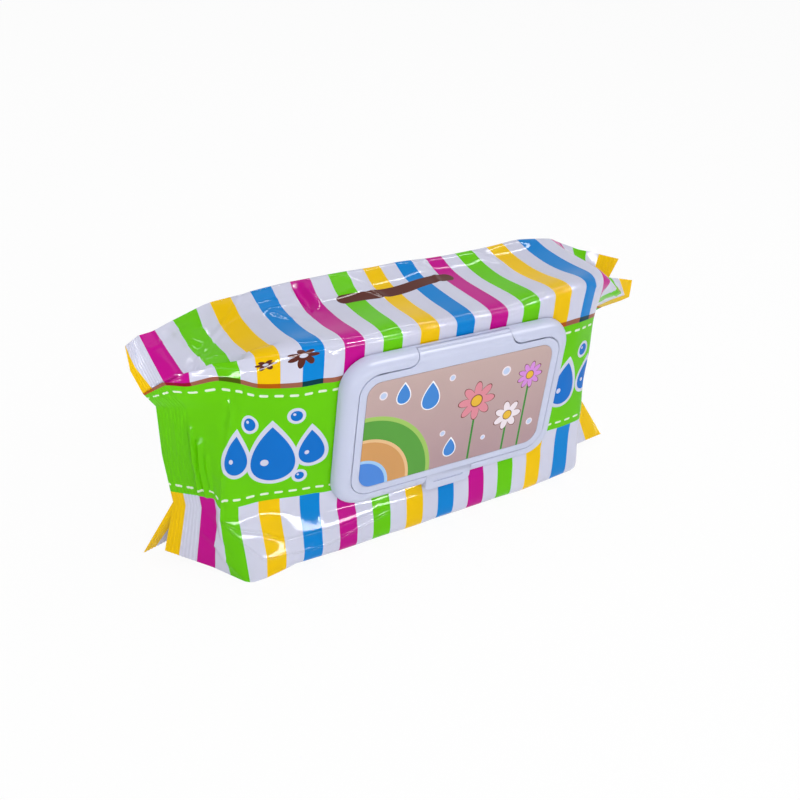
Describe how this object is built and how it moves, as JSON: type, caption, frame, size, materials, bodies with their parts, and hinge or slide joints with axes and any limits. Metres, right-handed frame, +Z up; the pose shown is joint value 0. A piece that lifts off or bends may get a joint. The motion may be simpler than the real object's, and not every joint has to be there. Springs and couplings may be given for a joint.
{
  "type": "wet wipes pack",
  "caption": "Soft film pack of wet wipes with gusseted, crimped ends and a hinged plastic flip lid over its dispensing opening.",
  "frame": {"origin": "middle of the long narrow side that the pack stands on, at the height of the surface", "axes": "+X along the pack's length, to the right seen from the lid's side; +Y from the lid's side to the back; +Z up"},
  "size_m": [0.244, 0.0592, 0.107],
  "materials": {
    "printed_film": "printed laminate film, glossy",
    "hot_melt": "translucent hot-melt glue",
    "seal_film": "white peel-off film",
    "base_plastic": "white moulded polypropylene, semi-gloss",
    "cover_plastic": "white moulded polypropylene, semi-gloss",
    "label_print": "printed film label, glossy"
  },
  "bodies": {
    "pack": {"film_pouch": "printed_film", "lid_adhesive": "hot_melt", "peel_seal": "seal_film", "lid_base": "base_plastic"},
    "cover": {"flip_lid": "cover_plastic", "lid_label": "label_print"}
  },
  "joints": [
    {"name": "lid_hinge", "type": "hinge", "parent": "pack", "child": "cover", "pos_m": [0, -0.02895, 0.09655], "axis": [-1, 0, 0], "range_deg": [0, 120]}
  ]
}
